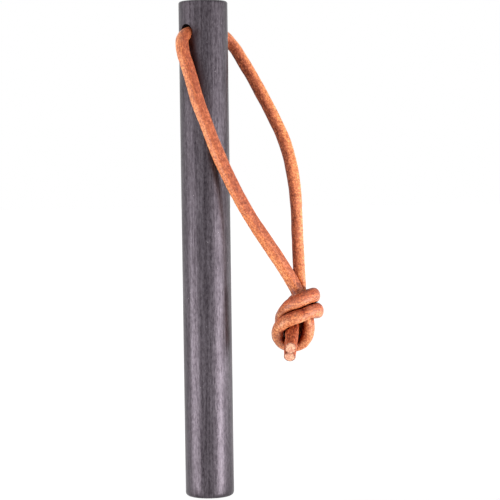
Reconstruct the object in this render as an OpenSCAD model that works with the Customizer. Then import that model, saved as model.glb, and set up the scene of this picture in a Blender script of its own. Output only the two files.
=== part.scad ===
// Ferro rod fire starter: a solid round rod of fire-steel alloy that stands on its flat end,
// cross-drilled near the top for a round leather lace whose two halves meet in one doubled
// overhand knot. The rod's axis is +Z, and the origin is the centre of its bottom face.

/* [Rod] */
// Length of the rod over both end faces
rod_length = 127; // [110:1:140]
// Diameter of the rod
rod_d = 12.5; // [11:0.1:13]
// Radius that breaks the edge of the top face
top_edge_r = 0.6; // [0.2:0.1:1.5]
// Radius that breaks the edge of the bottom face
bottom_edge_r = 0.9; // [0.2:0.1:1.5]

/* [Cross hole] */
// Diameter of the cross hole
hole_d = 4; // [3.6:0.1:5]
// Distance from the top face down to the hole's axis
hole_from_top = 8; // [6:0.5:12]
// Angle that the hole's front mouth is turned to the left of the front
hole_turn = 45; // [0:1:90]
// Width of the small countersink that breaks the edge of each mouth
mouth_relief = 0.2; // [0.1:0.05:0.4]

/* [Lace] */
// Diameter of the round leather lace
lace_d = 3.2; // [2.4:0.1:3.4]
// Length of straight lace that stands out of each mouth before it bends down
lace_stand_out = 0.5; // [0.3:0.1:1]
// Gap between the two laces where they run side by side through the knot
pair_gap = 0.3; // [0.2:0.05:0.6]
// Length of the two cut tails below the knot
tail_length = 4.6; // [3:0.2:12]

/* [Hidden] */

ROD_COLOUR = "#5a535b";
LACE_COLOUR = "#c8743f";
CUT_END_COLOUR = "#dca77c";

// Round solids of the rod are cut fine enough to look smooth
ROD_FN = 96;
HOLE_FN = 48;
// Sides of the lace's section, and rings between two points of the route
LACE_SIDES = 8;
STRAND_STEPS = 1;
KNOT_STEPS = 2;

hole_z = rod_length - hole_from_top;
// From the rod's axis out of the hole's front mouth
mouth_way = [-sin(hole_turn), -cos(hole_turn), 0];
bore_run_half = rod_d / 2 + lace_stand_out;
front_exit = [0, 0, hole_z] + bore_run_half * mouth_way;
rear_exit = [0, 0, hole_z] - bore_run_half * mouth_way;
pair_pitch = lace_d + pair_gap;

// Route of the front half of the lace, from the hole's front mouth across the face of the rod
// and away to the knot
front_route = [
    [-5.4, -5.5, 118.8], [-5.7, -6.4, 118.1], [-5.6, -7.1, 117.0], [-5.3, -7.5, 115.5],
    [-4.8, -7.6, 113.5], [-4.0, -7.7, 110.5], [-3.0, -8.0, 107.0], [-1.5, -8.3, 101.5],
    [0.5, -8.5, 96.0], [2.5, -8.5, 90.5], [5.0, -8.0, 84.5], [8.1, -7.0, 78.0],
    [11.65, -5.5, 71.5], [15.5, -4.0, 65.5], [19.35, -2.5, 59.5]
];

// Route of the rear half, out of the back of the rod and down in one loose bow
rear_route = [
    [5.6, 5.6, 118.8], [6.7, 6.4, 117.8], [8.0, 6.9, 115.9], [9.7, 7.1, 112.8],
    [12.1, 7.0, 108.5], [15.0, 6.5, 103.0], [17.75, 6.0, 97.5], [20.2, 5.5, 92.0],
    [21.8, 4.8, 86.5], [22.9, 4.0, 80.0], [23.35, 3.5, 73.5], [23.5, 3.0, 67.5], [23.7, 2.5, 61.0]
];

// Route of the pair through the doubled overhand knot: where its middle passes, and the way
// from the front lace to the rear lace there
pair_route = [
    // standing part, down behind the two front wraps
    [[23.2, 0.4, 54.0], [1.4, 3.7, 0]],
    [[24.0, 0.4, 50.6], [0, 1, 0]],
    [[25.2, 0.4, 47.4], [0, 1, 0]],
    [[25.9, 0.6, 44.8], [0, 1, 0]],
    // right side, bottom and left side of the loop
    [[25.9, 1.5, 42.2], [0, 1, 0.1]],
    [[25.2, 2.8, 40.4], [0, 1, 0.1]],
    [[23.9, 3.8, 39.2], [0, 1, 0.1]],
    [[22.3, 4.2, 38.8], [0, 1, 0.1]],
    [[20.5, 3.9, 39.1], [0, 1, 0.1]],
    [[18.8, 2.8, 40.2], [0, 1, 0.1]],
    [[18.0, 0.6, 42.4], [0, 1, 0.2]],
    [[18.6, -1.8, 44.7], [0.1, 0.8, 0.6]],
    // front wraps, one above the other, up to the right
    [[19.95, -4.0, 46.5], [0.1, 0.5, 0.9]],
    [[21.8, -5.3, 47.8], [-0.2, 0.3, 1]],
    [[23.8, -5.6, 48.6], [-0.3, 0, 1]],
    [[25.85, -5.0, 49.3], [-0.25, 0, 1]],
    // right-hand turn to the back
    [[27.7, -3.0, 49.6], [-0.25, 0, 1]],
    [[28.3, 0.4, 49.5], [-0.25, 0, 1]],
    [[27.85, 3.7, 49.3], [-0.28, 0, 1]],
    [[26.35, 5.8, 49.0], [-0.2, 0, 1]],
    // behind the standing part, then down through the loop
    [[24.4, 6.4, 48.6], [-0.15, 0, 1]],
    [[22.75, 5.9, 47.9], [-0.1, -0.1, 1]],
    [[21.85, 4.6, 46.8], [-0.15, -0.4, 1]],
    [[21.8, 2.9, 45.6], [-0.1, -0.7, 0.9]],
    [[22.1, 1.1, 44.2], [0, -0.8, 0.7]],
    [[21.9, -0.9, 42.5], [0, -0.8, 0.7]],
    [[21.6, -2.9, 40.6], [0, -0.8, 0.7]]
];
// The tails leave the loop forwards and downwards
tail_way = [-0.13, -1, -1];

function unit(v) = v / norm(v);
function square_to(v, along) = unit(v - (v * along) * along);
function last(list) = list[len(list) - 1];

// One lace's points through the knot: half a pitch from the middle of the pair, square to its
// way. side is -1 for the front lace and 1 for the rear lace.
function knot_points(side) = [
    for (i = [0 : len(pair_route) - 1])
        let (
            before = pair_route[max(i - 1, 0)][0],
            after = pair_route[min(i + 1, len(pair_route) - 1)][0],
            across = square_to(pair_route[i][1], unit(after - before))
        )
        pair_route[i][0] + side * pair_pitch / 2 * across
];

// Points of a smooth curve through the route: on each span the cubic whose slope at a point
// is half the step between that point's neighbours
function span_point(a, b, c, d, t) =
    0.5 * (2 * b + (c - a) * t + (2 * a - 5 * b + 4 * c - d) * t * t + (3 * b - a - 3 * c + d) * t * t * t);
// The neighbour that lets the curve leave its first point along start_way
function before_first(points, start_way) =
    points[1] - 2 * ((points[1] - points[0]) * start_way) * start_way;
function smooth(points, start_way, steps_at) = [
    for (i = [0 : len(points) - 2], k = [0 : steps_at[i] - 1])
        span_point(
            i > 0 ? points[i - 1] : before_first(points, start_way),
            points[i],
            points[i + 1],
            i < len(points) - 2 ? points[i + 2] : 2 * points[i + 1] - points[i],
            k / steps_at[i]
        ),
    last(points)
];

// Directions of the curve at its points, with both ends set square to what they meet
function ways(points, start_way, end_way) = [
    for (i = [0 : len(points) - 1])
        i == 0 ? unit(start_way)
        : i == len(points) - 1 ? unit(end_way)
        : unit(points[i + 1] - points[i - 1])
];

// Rings of the lace: each ring's first corner is carried along the curve without twist
function rings(points, directions) = [
    for (
        i = 0, up = square_to([0, 0, 1], directions[0]);
        i < len(points);
        i = i + 1, up = i < len(points) ? square_to(up, directions[i]) : up
    )
        let (sideways = cross(directions[i], up))
        [for (k = [0 : LACE_SIDES - 1])
            let (a = 360 * k / LACE_SIDES)
            points[i] + lace_d / 2 * (cos(a) * up + sin(a) * sideways)]
];

// Solid through a run of rings, closed by a flat face at each end
module tube(run) {
    n = LACE_SIDES;
    top = (len(run) - 1) * n;
    polyhedron(
        points = [for (ring = run, corner = ring) corner],
        faces = concat(
            [[for (k = [n - 1 : -1 : 0]) k]],
            [[for (k = [0 : n - 1]) top + k]],
            [for (i = [0 : len(run) - 2], k = [0 : n - 1])
                let (a = i * n + k, b = i * n + (k + 1) % n)
                each [[a, b, b + n], [a, b + n, a + n]]]
        ),
        convexity = 10
    );
}

function run_of(all_rings, from, to) = [for (i = [from : to]) all_rings[i]];

// One half of the lace from its mouth to its cut end: route, knot, tail
function lace_route(exit, route, side) =
    let (through = knot_points(side))
    concat([exit], route, through, [last(through) + tail_length * unit(tail_way)]);
function lace_steps(route) = [
    for (i = [0 : len(route) + len(pair_route)])
        i <= len(route) ? STRAND_STEPS : i < len(route) + len(pair_route) ? KNOT_STEPS : STRAND_STEPS
];
function lace_curve(exit, way, route, side) =
    smooth(lace_route(exit, route, side), way, lace_steps(route));
// Places of the knot's first and last ring on that curve
function knot_first(route) = (len(route) + 1) * STRAND_STEPS;
function knot_last(route) = knot_first(route) + (len(pair_route) - 1) * KNOT_STEPS;

front_curve = lace_curve(front_exit, mouth_way, front_route, -1);
rear_curve = lace_curve(rear_exit, -mouth_way, rear_route, 1);
front_rings = rings(front_curve, ways(front_curve, mouth_way, tail_way));
rear_rings = rings(rear_curve, ways(rear_curve, -mouth_way, tail_way));

// Least gap between two stretches of lace in the knot, and along one lace between points that
// lie further apart than a tight turn
function stretch(curve, route) = [for (i = [knot_first(route) : knot_last(route)]) curve[i]];
front_knot = stretch(front_curve, front_route);
rear_knot = stretch(rear_curve, rear_route);
function least_gap(one, other, apart) = min([
    for (i = [0 : len(one) - 1], j = [0 : len(other) - 1])
        if (abs(i - j) >= apart) norm(one[i] - other[j])
]) - lace_d;
TURN_RINGS = 6;
echo(gap_between_laces_in_knot = least_gap(front_knot, rear_knot, 0));
echo(gap_of_front_lace_to_itself = least_gap(front_knot, front_knot, TURN_RINGS));
echo(gap_of_rear_lace_to_itself = least_gap(rear_knot, rear_knot, TURN_RINGS));

// Half section of the rod, with a quarter round at each edge
module rod_profile() {
    difference() {
        square([rod_d / 2, rod_length]);
        translate([rod_d / 2 - bottom_edge_r, 0]) corner_waste(bottom_edge_r);
        translate([rod_d / 2 - top_edge_r, rod_length]) mirror([0, 1]) corner_waste(top_edge_r);
    }
}

// What a quarter round of radius r leaves outside it in its corner, with room to cut cleanly
module corner_waste(r) {
    difference() {
        translate([0, -r]) square([2 * r, 2 * r]);
        translate([0, r]) circle(r, $fn = HOLE_FN);
    }
}

module ferro_rod() {
    color(ROD_COLOUR)
        difference() {
            rotate_extrude($fn = ROD_FN) rod_profile();
            translate([0, 0, hole_z]) rotate([0, 0, -hole_turn]) rotate([90, 0, 0]) {
                cylinder(d = hole_d, h = 2 * rod_d, center = true, $fn = HOLE_FN);
                for (side = [0, 1]) mirror([0, 0, side]) mouth_countersink();
            }
        }
}

// Cone that breaks the mouth's edge where it stands furthest out, at the rod's own radius
module mouth_countersink() {
    translate([0, 0, rod_d / 2 - mouth_relief])
        cylinder(d1 = hole_d, d2 = hole_d + 4 * mouth_relief, h = 2 * mouth_relief, $fn = HOLE_FN);
}

module lace_bore_run() {
    color(LACE_COLOUR)
        translate([0, 0, hole_z]) rotate([0, 0, -hole_turn]) rotate([90, 0, 0])
            cylinder(d = lace_d, h = 2 * bore_run_half, center = true, $fn = HOLE_FN);
}

module front_strand() {
    color(LACE_COLOUR) tube(run_of(front_rings, 0, knot_first(front_route)));
}

module rear_strand() {
    color(LACE_COLOUR) tube(run_of(rear_rings, 0, knot_first(rear_route)));
}

module knot_front_lace() {
    color(LACE_COLOUR) tube(run_of(front_rings, knot_first(front_route), knot_last(front_route)));
}

module knot_rear_lace() {
    color(LACE_COLOUR) tube(run_of(rear_rings, knot_first(rear_route), knot_last(rear_route)));
}

module front_tail() {
    color(CUT_END_COLOUR) tube(run_of(front_rings, knot_last(front_route), len(front_rings) - 1));
}

module rear_tail() {
    color(CUT_END_COLOUR) tube(run_of(rear_rings, knot_last(rear_route), len(rear_rings) - 1));
}

ferro_rod();
lace_bore_run();
front_strand();
rear_strand();
knot_front_lace();
knot_rear_lace();
front_tail();
rear_tail();
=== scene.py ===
"""Ferro rod fire starter: a drawn fire-steel rod with a round leather lace tied through its cross hole.

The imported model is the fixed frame. The rod is a fine surface of revolution with both hole mouths let
into its wall. The lace is two halves that start in the middle of the hole, each one a rounded square
section carried along its route, through the doubled overhand knot to its cut end.
"""

from __future__ import annotations

import logging
import math
from dataclasses import dataclass, field, replace
from enum import Enum

import bmesh
import bpy
import numpy as np
from mathutils import Matrix, Vector


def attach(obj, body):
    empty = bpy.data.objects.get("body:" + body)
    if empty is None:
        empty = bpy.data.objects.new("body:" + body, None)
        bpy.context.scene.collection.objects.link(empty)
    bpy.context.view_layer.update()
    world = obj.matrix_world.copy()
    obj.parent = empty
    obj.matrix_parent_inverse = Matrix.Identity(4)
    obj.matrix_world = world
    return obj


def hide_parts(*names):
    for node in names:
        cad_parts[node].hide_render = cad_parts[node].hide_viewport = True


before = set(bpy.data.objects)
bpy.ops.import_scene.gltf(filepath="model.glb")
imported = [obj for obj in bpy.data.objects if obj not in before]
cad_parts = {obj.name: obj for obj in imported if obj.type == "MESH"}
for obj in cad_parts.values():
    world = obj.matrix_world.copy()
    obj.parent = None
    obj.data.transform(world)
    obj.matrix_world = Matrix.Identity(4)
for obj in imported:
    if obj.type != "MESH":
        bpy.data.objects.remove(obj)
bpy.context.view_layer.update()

LOG = logging.getLogger("fire_starter")
MM = 0.001
Array = np.ndarray
Piece = bpy.types.Object
Socket = bpy.types.NodeSocket
Colour = tuple[float, float, float]
Place = tuple[float, float, float]
Span = tuple[float, float]
Swell = tuple[float, float, float]


# Curves, vectors and meshes


def unit(vectors: Array) -> Array:
    """Vectors at length one, v / |v|, where the last axis holds x, y, z."""
    return vectors / np.linalg.norm(vectors, axis=-1, keepdims=True)


def square_to(vectors: Array, along: Array) -> Array:
    """The part of each vector that is square to a unit direction, at length one: unit(v - (v . t) t)."""
    return unit(vectors - (vectors * along).sum(-1, keepdims=True) * along)


def smooth_step(low: float, high: float, values: Array) -> Array:
    """Smooth rise from 0 at low to 1 at high: 3t^2 - 2t^3 with t clipped to 0..1."""
    t = np.clip((values - low) / (high - low), 0.0, 1.0)
    return t * t * (3.0 - 2.0 * t)


def fade_out(low: float, high: float, values: Array) -> Array:
    """Smooth fall from 1 at low to 0 at high: one less the smooth step."""
    return 1.0 - smooth_step(low, high, values)


def bump_at(values: Array, middle: float, width: float) -> Array:
    """Bell curve exp(-((v - middle) / width)^2)."""
    return np.exp(-(((values - middle) / width) ** 2))


def swell_at(values: Array, swell: Swell) -> Array:
    """Bell curve of a given height, middle and width: height * bump_at(v, middle, width)."""
    return swell[0] * bump_at(values, swell[1], swell[2])


def ripple(angle: Array, orders: Array, seed: int) -> Array:
    """Closed random wave round a circle.

    Args:
        angle: Angles in radians, any shape.
        orders: Whole numbers of waves per turn.
        seed: Seed of the phases and heights.

    Returns:
        Sum of a_k cos(k angle + p_k), scaled to unit mean square.
    """
    rng = np.random.default_rng(seed)
    heights = rng.normal(size=len(orders))
    phases = rng.uniform(0.0, 2.0 * np.pi, len(orders))
    wave = (heights * np.cos(angle[..., None] * orders + phases)).sum(-1)
    return wave / np.sqrt((heights**2).sum() / 2.0)


def ring_quads(rows: int, columns: int) -> Array:
    """Quads between closed rows of points that are laid out row by row.

    Args:
        rows: Number of rows.
        columns: Number of points in a row, whose last point joins the first.

    Returns:
        Rows of four indices: (r, c), (r, c+1), (r+1, c+1), (r+1, c).
    """
    r = np.arange(rows - 1)[:, None]
    c = np.arange(columns)[None, :]
    d = (c + 1) % columns
    quads = np.stack([r * columns + c, r * columns + d, (r + 1) * columns + d, (r + 1) * columns + c], -1)
    return quads.reshape(-1, 4)


def end_fans(rows: int, columns: int, centre: int) -> list[Array]:
    """Triangles that close the first and the last of those rows.

    Args:
        rows: Number of rows.
        columns: Number of points in a row.
        centre: Index of the first row's middle point, which the last row's middle point follows.

    Returns:
        The first row's triangles (c+1, c, centre), and the last row's (c, c+1, centre + 1).
    """
    c = np.arange(columns)
    d = (c + 1) % columns
    last = (rows - 1) * columns
    return [
        np.stack([d, c, np.full_like(c, centre)], -1),
        np.stack([last + c, last + d, np.full_like(c, centre + 1)], -1),
    ]


def closed_tube(rings: Array, start: Array, end: Array) -> tuple[Array, list[Array]]:
    """Points and faces of a tube of rings that is closed at both ends.

    Args:
        rings: Points as (rings, sides, 3).
        start: Middle point of the first ring's end.
        end: Middle point of the last ring's end.

    Returns:
        The rings' points row by row, then the two middle points, and the arrays of faces.
    """
    count, sides = rings.shape[:2]
    points = np.concatenate([rings.reshape(-1, 3), [start], [end]])
    return points, [ring_quads(count, sides), *end_fans(count, sides, count * sides)]


def mesh_piece(name: str, points: Array, faces: list[Array], weld: float = 0.0) -> Piece:
    """Object at the origin from points in millimetres and arrays of faces.

    Args:
        name: Name of the piece.
        points: Rows of x, y, z in mm.
        faces: Arrays of three or four indices a row.
        weld: Distance in mm under which points are merged and the normals turned outwards, or 0.

    Returns:
        The new object, smooth shaded.
    """
    mesh = bpy.data.meshes.new(name)
    mesh.from_pydata((points * MM).tolist(), [], [face for block in faces for face in block.tolist()])
    mesh.update()
    if weld:
        work = bmesh.new()
        work.from_mesh(mesh)
        bmesh.ops.remove_doubles(work, verts=work.verts, dist=weld * MM)
        bmesh.ops.recalc_face_normals(work, faces=work.faces)
        work.to_mesh(mesh)
        work.free()
    mesh.polygons.foreach_set("use_smooth", np.ones(len(mesh.polygons), bool))
    piece = bpy.data.objects.new(name, mesh)
    bpy.context.scene.collection.objects.link(piece)
    return piece


def store(piece: Piece, name: str, values: Array) -> None:
    """Keeps a number or a vector per point on the mesh, for its finish to read.

    Args:
        piece: The mesh object.
        name: Name of the attribute.
        values: One value, or one row of three, per point, in the mesh's order.
    """
    kind, field_name = ("FLOAT_VECTOR", "vector") if values.ndim == 2 else ("FLOAT", "value")
    attribute = piece.data.attributes.new(name, kind, "POINT")
    attribute.data.foreach_set(field_name, values.astype(np.float32).ravel())


# Finishes


@dataclass(frozen=True)
class Pattern:
    """Noise from 0 to 1, with so many cells a metre along each axis of the object or of a stored place."""

    cells: Place
    detail: float
    rough: float
    stored: str = ""


class Bench:
    """Shader nodes of one material or world, added and joined by name."""

    def __init__(self, owner: bpy.types.Material | bpy.types.World) -> None:
        """Starts with an empty tree.

        Args:
            owner: The material or world that the tree belongs to.
        """
        self.owner = owner
        owner.use_nodes = True
        self.tree = owner.node_tree
        self.tree.nodes.clear()

    def put(self, kind: str, settings: dict[str, object] | None = None, **inputs: object) -> bpy.types.Node:
        """Adds a node.

        Args:
            kind: Node type without its ShaderNode prefix.
            settings: Properties of the node.
            inputs: Input sockets by name, with _ for a space: a socket is joined, a value is set.

        Returns:
            The new node.
        """
        node = self.tree.nodes.new("ShaderNode" + kind)
        for key, value in (settings or {}).items():
            setattr(node, key, value)
        for key, value in inputs.items():
            self.join(node.inputs[key.replace("_", " ")], value)
        return node

    def join(self, socket: Socket, value: object) -> None:
        """Joins a socket to another, or sets its value.

        Args:
            socket: The input.
            value: The output that it is joined to, or a plain value.
        """
        if isinstance(value, bpy.types.NodeSocket):
            self.tree.links.new(value, socket)
        else:
            socket.default_value = value

    def noise(self, pattern: Pattern) -> Socket:
        """Noise at the point's place in metres, on Object coordinates or stored, times the cells.

        Args:
            pattern: Its cells, detail, roughness and stored place.

        Returns:
            The noise, 0 to 1.
        """
        if pattern.stored:
            where = self.put("Attribute", {"attribute_name": pattern.stored}).outputs["Vector"]
        else:
            where = self.put("TexCoord").outputs["Object"]
        cells = self.put("Mapping", Vector=where, Scale=pattern.cells).outputs["Vector"]
        node = self.put("TexNoise", Vector=cells, Scale=1.0, Detail=pattern.detail, Roughness=pattern.rough)
        return node.outputs["Fac"]

    def attribute(self, name: str) -> Socket:
        """A number stored on the mesh."""
        return self.put("Attribute", {"attribute_name": name}).outputs["Fac"]

    def maths(self, kind: str, a: object, b: object, clamp: bool = False) -> Socket:
        """One step of arithmetic on two numbers.

        Args:
            kind: The step, such as ADD.
            a: First number or socket.
            b: Second number or socket.
            clamp: Whether the result is held to 0..1.

        Returns:
            The result.
        """
        node = self.put("Math", {"operation": kind, "use_clamp": clamp})
        self.join(node.inputs[0], a)
        self.join(node.inputs[1], b)
        return node.outputs[0]

    def fit(
        self, value: object, low: float, high: float, to_low: float = 0.0, to_high: float = 1.0
    ) -> Socket:
        """Maps low..high to to_low..to_high, clamped, with smooth ends.

        Args:
            value: Number or socket to map.
            low: Where the map starts.
            high: Where it ends, which may be below its start.
            to_low: Result at its start.
            to_high: Result at its end.

        Returns:
            The result.
        """
        node = self.put("MapRange", {"interpolation_type": "SMOOTHSTEP"})
        names = ("Value", "From Min", "From Max", "To Min", "To Max")
        for name, number in zip(names, (value, low, high, to_low, to_high)):
            self.join(node.inputs[name], number)
        return node.outputs["Result"]

    def blend(self, factor: object, first: object, second: object, kind: str = "MIX") -> Socket:
        """Mix of two colours, first (1 - factor) + second factor, or their product at that factor.

        Args:
            factor: Share of the second colour.
            first: Colour or socket.
            second: Colour or socket.
            kind: MIX or MULTIPLY.

        Returns:
            The colour.
        """
        node = self.put("Mix", {"data_type": "RGBA", "blend_type": kind})
        # The node's sockets for colours are inputs 6 and 7 and output 2.
        for index, value in ((0, factor), (6, first), (7, second)):
            if isinstance(value, tuple):
                value = (*value, 1.0)
            self.join(node.inputs[index], value)
        return node.outputs[2]

    def relief(self, height: object, depth: float, strength: float, under: object = None) -> Socket:
        """Bump of a height map, on top of another bump.

        Args:
            height: Height, 0 to 1.
            depth: Real height of 1, in mm.
            strength: Share of the effect.
            under: Normal that this one lies on.

        Returns:
            The new normal.
        """
        node = self.put("Bump", Height=height, Distance=depth * MM, Strength=strength)
        if under is not None:
            self.join(node.inputs["Normal"], under)
        return node.outputs["Normal"]

    def seen_rays(self) -> Socket:
        """Whether a ray comes from the camera or is one that gloss or glass sends on.

        Returns:
            1 where it is, else 0: the greatest of the three kinds.
        """
        path = self.put("LightPath")
        seen = self.maths("MAXIMUM", path.outputs["Is Camera Ray"], path.outputs["Is Glossy Ray"])
        return self.maths("MAXIMUM", seen, path.outputs["Is Transmission Ray"])

    def close(self, shader: bpy.types.Node, kind: str = "OutputMaterial") -> None:
        """Ends the tree in that shader."""
        self.join(self.put(kind).inputs["Surface"], shader.outputs[0])

    def surface(self, **inputs: object) -> bpy.types.Material:
        """Ends the material in a Principled shader with these inputs."""
        self.close(self.put("BsdfPrincipled", **inputs))
        return self.owner


@dataclass(frozen=True)
class FireSteel:
    """Drawn fire steel: dark purple grey, with draw lines along the rod, pits, pale specks and a painted
    shadow of the lace.
    """

    dark: Colour = (0.026, 0.019, 0.025)
    light: Colour = (0.140, 0.120, 0.139)
    speck: Colour = (0.40, 0.36, 0.39)
    pit: Colour = (0.012, 0.009, 0.012)
    # Dark reddish colour of the painted shadow of the lace on the rod.
    lace_shadow_colour: Colour = (0.030, 0.012, 0.014)
    metallic: float = 0.85
    lines: Pattern = Pattern((2300.0, 2300.0, 69.0), 4.0, 0.6)
    broad: Pattern = Pattern((700.0, 700.0, 9.0), 2.0, 0.5)
    cloud: Pattern = Pattern((260.0, 260.0, 90.0), 4.0, 0.6)
    grain: Pattern = Pattern((2400.0, 2400.0, 800.0), 4.0, 0.75)
    specks: Pattern = Pattern((2300.0, 2300.0, 1500.0), 2.0, 0.5)
    holes: Pattern = Pattern((2000.0, 2000.0, 1600.0), 2.0, 0.5)

    def material(self) -> bpy.types.Material:
        """The finish as a material on Object coordinates.

        Returns:
            The material. Its colour goes from dark to light by the sum of lines, broad streaks and grain.
        """
        b = Bench(bpy.data.materials.new("drawn_fire_steel"))
        lines, broad, cloud, grain = (b.noise(p) for p in (self.lines, self.broad, self.cloud, self.grain))
        tone = b.maths("ADD", b.fit(lines, 0.36, 0.64, 0.0, 0.34), b.fit(broad, 0.36, 0.64, 0.0, 0.20))
        tone = b.maths("ADD", tone, b.fit(grain, 0.38, 0.62, 0.0, 0.48), True)
        colour = b.blend(tone, self.dark, self.light)
        # Dark clouds, the painted shadow of the lace beside it, pale specks and black pits lie over it.
        colour = b.blend(b.fit(cloud, 0.35, 0.7, 0.0, 0.35), colour, self.dark)
        colour = b.blend(b.attribute("lace_shadow"), colour, self.lace_shadow_colour)
        colour = b.blend(b.fit(b.noise(self.specks), 0.735, 0.79, 0.0, 0.7), colour, self.speck)
        pits = b.fit(b.noise(self.holes), 0.26, 0.20, 0.0, 0.6)
        colour = b.blend(pits, colour, self.pit)
        # Lines and grain stand out, and pits go in.
        normal = b.relief(lines, 0.03, 0.5)
        normal = b.relief(grain, 0.04, 0.6, normal)
        normal = b.relief(b.maths("SUBTRACT", 1.0, pits), 0.04, 0.5, normal)
        rough = b.fit(b.maths("ADD", lines, cloud), 0.7, 1.3, 0.32, 0.41)
        return b.surface(Base_Color=colour, Metallic=self.metallic, Roughness=rough, Normal=normal)


@dataclass(frozen=True)
class LaceLeather:
    """Waxed tan leather: an orange grain side and browner cut sides, partly painted light and shade,
    brown-red mottling and painted shade in creases.

    The tints are shares of red, green and blue that the colour is multiplied by.
    """

    pale: Colour = (0.86, 0.365, 0.140)
    tan: Colour = (0.68, 0.210, 0.066)
    rust: Colour = (0.46, 0.115, 0.046)
    brown: Colour = (0.17, 0.033, 0.014)
    pulled: Colour = (0.86, 0.44, 0.285)
    # Near black of the painted shade deep in creases.
    shade_black: Colour = (0.022, 0.003, 0.002)
    light_speckle: Colour = (1.34, 1.42, 1.46)
    dark_speckle: Colour = (0.68, 0.51, 0.43)
    strand_tint: Colour = (1.03, 1.09, 1.12)
    # Tints of the knot by side: the grain side's pinker tint is partly a painted sheen.
    knot_cut_tint: Colour = (1.34, 1.40, 1.32)
    knot_grain_tint: Colour = (0.81, 0.84, 0.97)
    rubbed_tint: Colour = (0.68, 0.47, 0.39)
    squeezed_tint: Colour = (0.46, 0.24, 0.19)
    mottle: Pattern = Pattern((700.0, 700.0, 600.0), 5.0, 0.68)
    patches: Pattern = Pattern((620.0, 1200.0, 1200.0), 5.0, 0.74, "lace_place")
    streaks: Pattern = Pattern((900.0, 4200.0, 4200.0), 4.0, 0.65, "lace_place")
    scuffs: Pattern = Pattern((900.0, 1700.0, 1700.0), 2.0, 0.5, "lace_place")
    fleck: Pattern = Pattern((2000.0, 2000.0, 2000.0), 4.0, 0.75)

    def material(self) -> bpy.types.Material:
        """The finish, from Object coordinates and the place, sides, strain and painted shade stored on the
        lace.

        Returns:
            The material. Where the stored grain side, made ragged by fleck and patches, is high, it is the
            smooth grain side, and where it is low, the cut side. The grain side is set on the lit side, so
            its pale colour and the cut side's brown are partly painted light and shade.
        """
        b = Bench(bpy.data.materials.new("waxed_tan_leather"))
        crease_shade, strain = b.attribute("crease_shade"), b.attribute("strain")
        mottle, patches, streaks = b.noise(self.mottle), b.noise(self.patches), b.noise(self.streaks)
        fleck = b.noise(self.fleck)
        edge = b.maths("ADD", b.attribute("grain_and_lit_side"), b.fit(fleck, 0.3, 0.7, -0.10, 0.10))
        edge = b.maths("ADD", edge, b.fit(patches, 0.3, 0.7, 0.10, -0.10))
        # The grain side is pale to tan, and the cut side rust to brown: set on the lit and the shaded side,
        # they are partly painted light and shade.
        smooth = b.blend(b.fit(mottle, 0.34, 0.60), self.pale, self.tan)
        smooth = b.blend(b.fit(edge, 0.85, 0.55), smooth, self.tan)
        worn = b.maths("MULTIPLY", b.fit(patches, 0.38, 0.58), b.fit(edge, 0.40, 0.14, 0.2, 1.0))
        cut = b.blend(worn, self.rust, self.brown)
        colour = b.blend(b.fit(edge, 0.30, 0.55), cut, smooth)
        # Streaks along the lace, spots, scuffs and speckle show most on the cut side.
        lines = b.maths("MULTIPLY", b.fit(streaks, 0.45, 0.60), b.fit(edge, 1.0, 0.3, 0.35, 0.9))
        colour = b.blend(lines, colour, self.rust)
        spots = b.maths("MULTIPLY", b.fit(fleck, 0.57, 0.68), b.fit(edge, 1.0, 0.3, 0.1, 0.8))
        colour = b.blend(spots, colour, self.brown)
        scuffed = b.fit(b.noise(self.scuffs), 0.60, 0.68)
        scuffed = b.maths("MULTIPLY", scuffed, b.fit(edge, 0.8, 0.3, 0.15, 0.6))
        colour = b.blend(scuffed, colour, self.brown)
        speckle = b.blend(b.fit(fleck, 0.40, 0.56), self.light_speckle, self.dark_speckle)
        colour = b.blend(1.0, colour, speckle, "MULTIPLY")
        # In the knot both sides are tinted, the grain side pinker, partly as a painted sheen, and the cut
        # side lighter; what is rubbed or squeezed goes darker.
        knotted = b.blend(b.fit(edge, 0.25, 0.65), self.knot_cut_tint, self.knot_grain_tint)
        knot_share = b.blend(b.attribute("knot_share"), self.strand_tint, knotted)
        colour = b.blend(1.0, colour, knot_share, "MULTIPLY")
        rubbed = b.maths("MULTIPLY", b.attribute("rubbed"), b.fit(streaks, 0.42, 0.55))
        colour = b.blend(rubbed, colour, self.rubbed_tint, "MULTIPLY")
        colour = b.blend(b.fit(strain, 0.2, 0.55, 0.0, 0.12), colour, self.pulled)
        squeeze = b.maths("MULTIPLY", b.fit(strain, 0.06, -0.25), b.attribute("knot_share"))
        colour = b.blend(squeeze, colour, self.squeezed_tint, "MULTIPLY")
        # Painted shade in creases, contacts, the hole and by the rod deepens the colour and then goes to
        # near black.
        power = b.maths("ADD", b.fit(crease_shade, 0.0, 0.9, 1.0, 1.6), b.fit(squeeze, 0.0, 1.0, 0.0, 0.2))
        deepened = b.put("Gamma", Color=colour, Gamma=power).outputs[0]
        colour = b.blend(b.fit(crease_shade, 0.30, 1.0, 0.0, 0.95), deepened, self.shade_black)
        normal = b.relief(mottle, 0.12, 0.4)
        normal = b.relief(streaks, 0.05, 0.35, normal)
        normal = b.relief(fleck, 0.05, 0.3, normal)
        rough = b.maths("ADD", b.fit(mottle, 0.3, 0.7, -0.06, 0.06), b.fit(edge, 0.2, 0.6, 0.62, 0.45))
        shine = b.maths("MULTIPLY", b.fit(crease_shade, 0.05, 0.7, 1.0, 0.08), b.fit(edge, 0.15, 0.6, 0.25, 0.5))
        return b.surface(Base_Color=colour, Roughness=rough, Specular_IOR_Level=shine, Normal=normal)


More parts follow.
